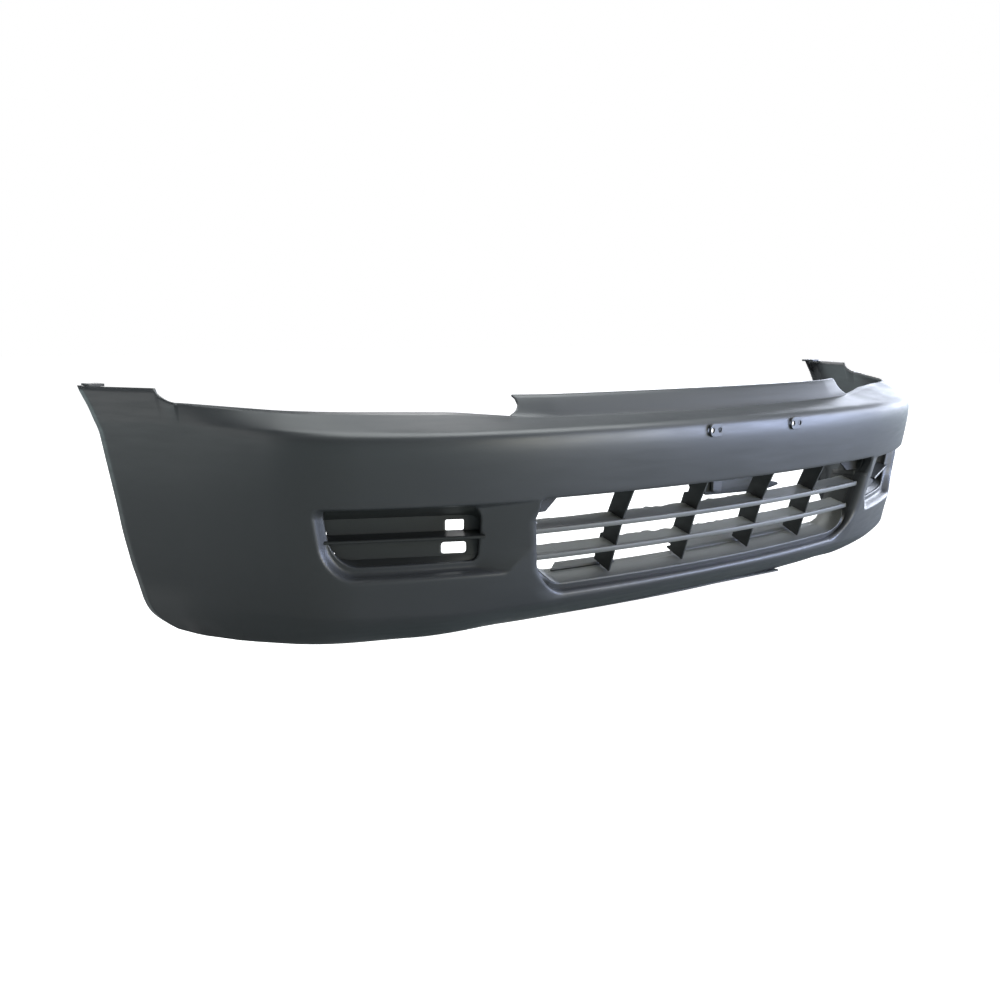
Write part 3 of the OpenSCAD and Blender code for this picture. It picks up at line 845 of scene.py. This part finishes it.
# Bracket web in the darker painted-shade copy of the primer, its clip in the lighter painted-light copy.
plate("bracket_web", [round_outline(bracket, 5)], 3.5,
      lambda u, v, w: np.stack([u, BRACKET_Y + w, v], -1), web_painted_shade, ["inner_bracket"])
plate("bracket_clip", [round_outline(clip, 4)], 5,
      lambda u, v, w: np.stack([u, CLIP_Y + w, v], -1), shelf_painted_light)

# ---------------------------------------------------------------- top flange
FLANGE_HALF, FLANGE_FOLD, FOLD_BEND = 404, 340, 2.0
FLANGE_FOOT_Z, FLANGE_RISE = 309, 29
FLANGE_STEPS, FLANGE_THICK = 241, 2.6
# Setback and height of the flange's section, from inside the shelf to its top edge
FLANGE_SECTION = [(64, 303.6), (68, 305.0), (71.6, 308.0), (74.5, 312), (77, 316.5),
                  (79.5, 321), (83, 327), (88, 335), (90.5, 338.2), (93.5, 339.2)]


def flange_sheet():
    """Points and quads of the raised flange, whose ends flare at the foot and fold back."""
    steps = np.linspace(-1, 1, FLANGE_STEPS)
    points = []
    for u in steps:
        for setback, z in FLANGE_SECTION:
            t = np.clip((z - FLANGE_FOOT_Z) / FLANGE_RISE, 0, 1)
            s = abs(u) * (FLANGE_HALF - 8 + 30 * (1 - t) ** 2.5 + 8 * t ** 4)
            past = s - FLANGE_FOLD
            fold = FOLD_BEND * math.log1p(math.exp(past / FOLD_BEND)) if past < 60 else past
            px, py, h = crown(s)
            back = setback + 0.11 * fold * t ** 0.3 if t > 0 else setback
            x = math.copysign(1, u) * (px - back * math.sin(h))
            points.append([x, py + back * math.cos(h), z + 0.012 * fold])
    return np.array(points), grid_faces(len(steps), len(FLANGE_SECTION))


flange_points, flange_faces = flange_sheet()
flange = piece("top_flange_sheet", flange_points, flange_faces[:, ::-1],
               skin_primer, ["top_flange"], smooth_angle=50)
thicken(flange, FLANGE_THICK)

# ---------------------------------------------------------------- vents
VENT_BACK, VENT_BACK_Z = 63, (127, 183)
HOUSING_STEPS, HOUSING_WALL = (0, 0.03, 0.2, 0.45, 0.7, 0.94, 1.0), 2.4
LOUVRE_HALF, LOUVRE_NOSE, LOUVRE_DEEP, LOUVRE_Z, LOUVRE_HALF_THICK = 109, 2.5, 44, 155, 1.1
vent_x, vent_y, _ = (float(q) for q in crown(VENT_MIDDLE_S))


def vent_spot(side, along_face, inward, z):
    """Crown frame point from a vent's own frame: X outwards along the face, Y rearwards."""
    along_face, inward, z = np.broadcast_arrays(along_face, inward, z)
    x = vent_x + along_face * math.cos(heading) - inward * math.sin(heading)
    y = vent_y + along_face * math.sin(heading) + inward * math.cos(heading)
    return np.stack([side * x, y, z], -1)


def box_distance(low_u, high_u, low_v, high_v, r):
    """Distance function of a rectangle with rounded corners."""
    def distance(u, v):
        across = np.maximum(low_u - u, u - high_u)
        return np.maximum(rounded_meet(across, low_v - v, r), rounded_meet(across, v - high_v, r))
    return distance


WINDOWS = [box_distance(-84, -58, 162, 177, 2), box_distance(-87, -52, 130, 146, 4),
           box_distance(102.5, 105.5, 158, 167, 1), box_distance(92, 95, 135, 138, 1)]
for side, word, ring_number in ((-1, "left", 1), (1, "right", 2)):
    s, z, edge = inner_rings[ring_number]
    low, high = VENT_Z
    back_low, back_high = VENT_BACK_Z
    back_z = back_low + (z - low + VENT_ROUND) * (back_high - back_low) / (high - low + 2 * VENT_ROUND)
    along_face = (np.abs(s) - VENT_MIDDLE_S) * 0.975
    back = vent_spot(side, along_face, VENT_BACK, back_z)
    start = edge + directions[ring_number] * -1.0
    stations = np.stack([start + (back - start) * t for t in HOUSING_STEPS], 1)
    depth = stations.shape[1]
    total = len(stations)
    ids = np.arange(total * depth).reshape(total, depth)
    ahead = np.roll(ids, -1, 0)
    quads = np.stack([ids[:, :-1], ids[:, 1:], ahead[:, 1:], ahead[:, :-1]], -1).reshape(-1, 4)
    u, v = np.meshgrid(np.linspace(-109, 112, 112), np.linspace(125.5, 184.5, 41), indexing="ij")
    wall_faces, _ = cut_grid(u, v, WINDOWS)
    wall_points = vent_spot(side, u.ravel(), VENT_BACK + 0 * u.ravel(), v.ravel())
    shell_faces = [list(q) for q in quads]
    shell_faces += [[k + total * depth for k in (f if side > 0 else f[::-1])] for f in wall_faces]
    shell_points = np.concatenate([stations.reshape(-1, 3), wall_points]) * (WIDEN, 1, 1)
    # Vent housing in the darker painted-shade copy of the primer.
    housing = piece("vent_box_" + word, shell_points, shell_faces,
                    inner_painted_shade, ["vent_housing_" + word], 40)
    thicken(housing, HOUSING_WALL)
    reach = np.linspace(-LOUVRE_HALF, LOUVRE_HALF, 60)
    rings = []
    for a in np.linspace(math.radians(107), math.radians(287), 9):
        rings.append((LOUVRE_DEEP + LOUVRE_NOSE * math.cos(a), LOUVRE_Z + LOUVRE_NOSE * math.sin(a)))
    front, rear, lift = LOUVRE_DEEP + 2, VENT_BACK + 1, LOUVRE_HALF_THICK
    for deep, up in ((front, -lift), (rear, -lift), (rear, lift), (front, lift)):
        rings.append((deep, LOUVRE_Z + (deep - LOUVRE_DEEP) * math.tan(SLAT_SLOPE) + up))
    grid = np.stack([vent_spot(side, reach, deep, level) for deep, level in rings], 1)
    faces = tube_faces(len(reach), len(rings))
    if side < 0:
        faces = [f[::-1] for f in faces]
    # Louvre in the darker painted-shade copy of the primer.
    piece("louvre_" + word, grid.reshape(-1, 3), faces, inner_painted_shade, ["vent_louvre_" + word], 50)

# ---------------------------------------------------------------- plate bosses
BOSS_EDGE, BOSS_THICK = 0.7, 3
BORE_R = 3.5 + BOSS_EDGE
BORE_X = (-8, 8)
turn = np.linspace(0, 2 * math.pi, 33)[:-1]
pad = round_outline([(-12.6, -9.4, 9), (12.2, -9.4, 2.5), (12.2, 9.4, 2.5), (-12.6, 9.4, 9)], 9)
bores = [[(c + BORE_R * math.cos(a), BORE_R * math.sin(a)) for a in -turn] for c in BORE_X]
for side, word in ((-1, "left"), (1, "right")):
    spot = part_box("plate_boss_" + word)
    centre = 1000 * (spot[0] + spot[1]) / 2
    plate("boss_pad_" + word, [pad, *bores], BOSS_THICK,
          lambda u, v, w, c=centre: np.stack([c.x + u, w - 0.6 + 0 * u, v + c.z], -1),
          skin_primer, ["plate_boss_" + word], BOSS_EDGE)

# ---------------------------------------------------------------- stage and lights
FLOOR_HALF = 14
floor_mesh = bpy.data.meshes.new("floor")
floor_corners = [(x * FLOOR_HALF, y * FLOOR_HALF, 0) for x, y in ((-1, -1), (1, -1), (1, 1), (-1, 1))]
floor_mesh.from_pydata(floor_corners, [], [(0, 1, 2, 3)])
floor = bpy.data.objects.new("floor", floor_mesh)
bpy.context.scene.collection.objects.link(floor)
floor.location.z = -0.0005


def floor_paint():
    """Pale floor. What it throws back at the object is a painted glow: dim close by, a painted contact
    shadow, and brighter further out.
    """
    material = bpy.data.materials.new("floor")
    material.use_nodes = True
    nodes, links = material.node_tree.nodes, material.node_tree.links
    nodes.remove(nodes["Principled BSDF"])
    seen, glow = nodes.new("ShaderNodeBsdfDiffuse"), nodes.new("ShaderNodeEmission")
    both = nodes.new("ShaderNodeAddShader")
    seen.inputs["Color"].default_value = (0.5, 0.5, 0.5, 1)
    glow.inputs["Strength"].default_value = 1.0
    links.new(seen.outputs["BSDF"], both.inputs[0])
    links.new(glow.outputs["Emission"], both.inputs[1])
    spot, flatten = nodes.new("ShaderNodeTexCoord"), nodes.new("ShaderNodeMapping")
    flatten.inputs["Scale"].default_value = (0.55, 1, 1)
    links.new(spot.outputs["Object"], flatten.inputs["Vector"])
    away = nodes.new("ShaderNodeVectorMath")
    away.operation = "LENGTH"
    links.new(flatten.outputs["Vector"], away.inputs[0])
    # Painted contact shadow and glow: for rays other than the camera's the floor glows faintly near the
    # object and brightly further out.
    lit = nodes.new("ShaderNodeMapRange")
    lit.interpolation_type = "SMOOTHSTEP"
    lit.inputs["From Min"].default_value = 0.9
    lit.inputs["From Max"].default_value = 2.2
    lit.inputs["To Min"].default_value = 0.13
    lit.inputs["To Max"].default_value = 0.96
    links.new(away.outputs["Value"], lit.inputs["Value"])
    far = nodes.new("ShaderNodeEmission")
    far.inputs["Color"].default_value = (0.76, 0.98, 1, 1)
    links.new(lit.outputs["Result"], far.inputs["Strength"])
    near = nodes.new("ShaderNodeBsdfDiffuse")
    near.inputs["Color"].default_value = (0.24, 0.24, 0.24, 1)
    back = nodes.new("ShaderNodeAddShader")
    links.new(far.outputs["Emission"], back.inputs[0])
    links.new(near.outputs["BSDF"], back.inputs[1])
    pick, ray = nodes.new("ShaderNodeMixShader"), nodes.new("ShaderNodeLightPath")
    links.new(ray.outputs["Is Camera Ray"], pick.inputs["Fac"])
    links.new(back.outputs["Shader"], pick.inputs[1])
    links.new(both.outputs["Shader"], pick.inputs[2])
    links.new(pick.outputs["Shader"], nodes["Material Output"].inputs["Surface"])
    return material


floor_mesh.materials.append(floor_paint())

world = bpy.data.worlds.new("studio")
bpy.context.scene.world = world
world.use_nodes = True
wn, wl = world.node_tree.nodes, world.node_tree.links
room = wn["Background"]
room.inputs["Color"].default_value = (0.94, 0.98, 1, 1)
room.inputs["Strength"].default_value = 0.02
plain = wn.new("ShaderNodeBackground")
plain.inputs["Color"].default_value = (1, 1, 1, 1)
pick, ray = wn.new("ShaderNodeMixShader"), wn.new("ShaderNodeLightPath")
wl.new(ray.outputs["Is Camera Ray"], pick.inputs["Fac"])
wl.new(room.outputs["Background"], pick.inputs[1])
wl.new(plain.outputs["Background"], pick.inputs[2])
wl.new(pick.outputs["Shader"], wn["World Output"].inputs["Surface"])
bpy.context.scene.view_settings.view_transform = "Standard"


def softbox(name, place, target, size, power, colour=(1, 1, 1)):
    """A rectangular area light that faces its target."""
    light = bpy.data.lights.new(name, "AREA")
    light.shape = "RECTANGLE"
    light.size, light.size_y = size
    light.energy = power
    light.color = colour
    thing = bpy.data.objects.new(name, light)
    bpy.context.scene.collection.objects.link(thing)
    thing.location = place
    thing.rotation_euler = (Vector(target) - Vector(place)).to_track_quat("-Z", "Y").to_euler()
    return thing


softbox("top", (0, -0.1, 2.5), (0, -0.1, 0), (3.4, 1.8), 104, (0.95, 1.0, 1.0))
softbox("behind", (0.3, 2.6, 1.6), (0, 0.1, 0.2), (2.8, 1.5), 44)
softbox("left_rear", (-3.2, 1.0, 0.7), (-0.5, 0, 0.2), (2.0, 1.3), 14)
softbox("right_rear", (6.4, 0.9, 1.2), (0.4, -0.1, 0.2), (7.0, 2.2), 430, (0.80, 0.86, 1.0))
softbox("right_front", (2.4, -2.2, 0.5), (0.2, -0.2, 0.2), (1.8, 1.0), 105, (0.58, 0.68, 1.0))
softbox("front", (0.9, -3.1, 0.5), (0.0, -0.2, 0.2), (2.0, 1.0), 56, (1.0, 0.98, 0.85))
softbox("high_front", (1.8, -1.8, 2.0), (0.2, -0.25, 0.2), (2.2, 1.5), 16)
